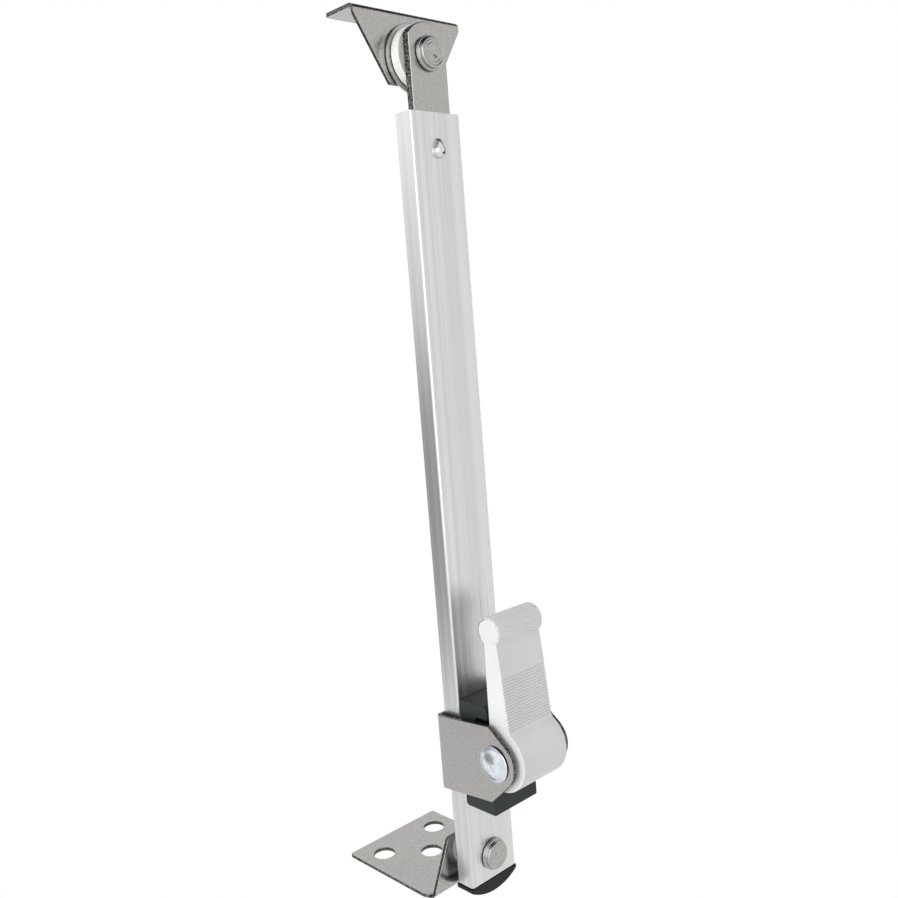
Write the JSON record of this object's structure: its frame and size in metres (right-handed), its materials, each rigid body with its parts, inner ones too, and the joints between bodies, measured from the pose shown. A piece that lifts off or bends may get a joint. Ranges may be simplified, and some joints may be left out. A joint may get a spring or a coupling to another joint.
{
  "type": "sliding window stay",
  "caption": "Sliding friction stay: a flat bar telescopes in a slotted aluminium channel, locked by a cam lever, with a hinged folded bracket at each end.",
  "frame": {"origin": "on the underside of the lower bracket's flange, at the middle of its three screw holes", "axes": "+Z along the stay from the lower to the upper bracket, -Y the front where the lever is, +X to the right seen from the front"},
  "size_m": [0.052, 0.0975, 0.3448],
  "materials": {
    "anodised_aluminium": "satin, fine extrusion lines",
    "plated_steel": "zinc plated, semi-matt",
    "bright_zinc": "bright zinc",
    "white_plastic": "moulded",
    "dark_grey_plastic": "moulded",
    "black_plastic": "moulded"
  },
  "bodies": {
    "base": {"lower_bracket": "plated_steel", "lower_rivet": "plated_steel", "lower_bush": "white_plastic"},
    "channel": {"channel": "anodised_aluminium", "stop_lug": "anodised_aluminium", "end_cap": "black_plastic"},
    "carriage": {"slide_bar": "plated_steel", "guide_shoe": "black_plastic", "carriage_spacer": "plated_steel", "carriage_rivet_1": "plated_steel", "carriage_rivet_2": "plated_steel", "clamp_housing": "plated_steel", "lever_pin": "bright_zinc", "upper_rivet": "plated_steel", "upper_bush": "white_plastic", "upper_washer": "plated_steel"},
    "pad": {"clamp_pad": "dark_grey_plastic"},
    "lever": {"lever": "white_plastic"},
    "top": {"upper_bracket": "plated_steel"}
  },
  "joints": [
    {"name": "lower_pivot", "type": "hinge", "parent": "base", "child": "channel", "pos_m": [0, -0.04813, 0.014], "axis": [0, 1, 0], "range_deg": [-90, 90]},
    {"name": "bar_slide", "type": "slide", "parent": "channel", "child": "carriage", "axis": [0, 0, 1], "range_m": [-0.009, 0.204]},
    {"name": "lever_turn", "type": "hinge", "parent": "carriage", "child": "lever", "pos_m": [0, -0.06913, 0.0638], "axis": [1, 0, 0], "range_deg": [0, 110]},
    {"name": "pad_press", "type": "slide", "parent": "carriage", "child": "pad", "axis": [0, -1, 0], "range_m": [0, 0.00066]},
    {"name": "upper_pivot", "type": "hinge", "parent": "carriage", "child": "top", "pos_m": [0, -0.03753, 0.3257], "axis": [0, 1, 0], "range_deg": [-90, 90]}
  ],
  "couplings": [
    {"joint": "pad_press", "follows": "lever_turn", "m_per_rad": 0.00034}
  ]
}
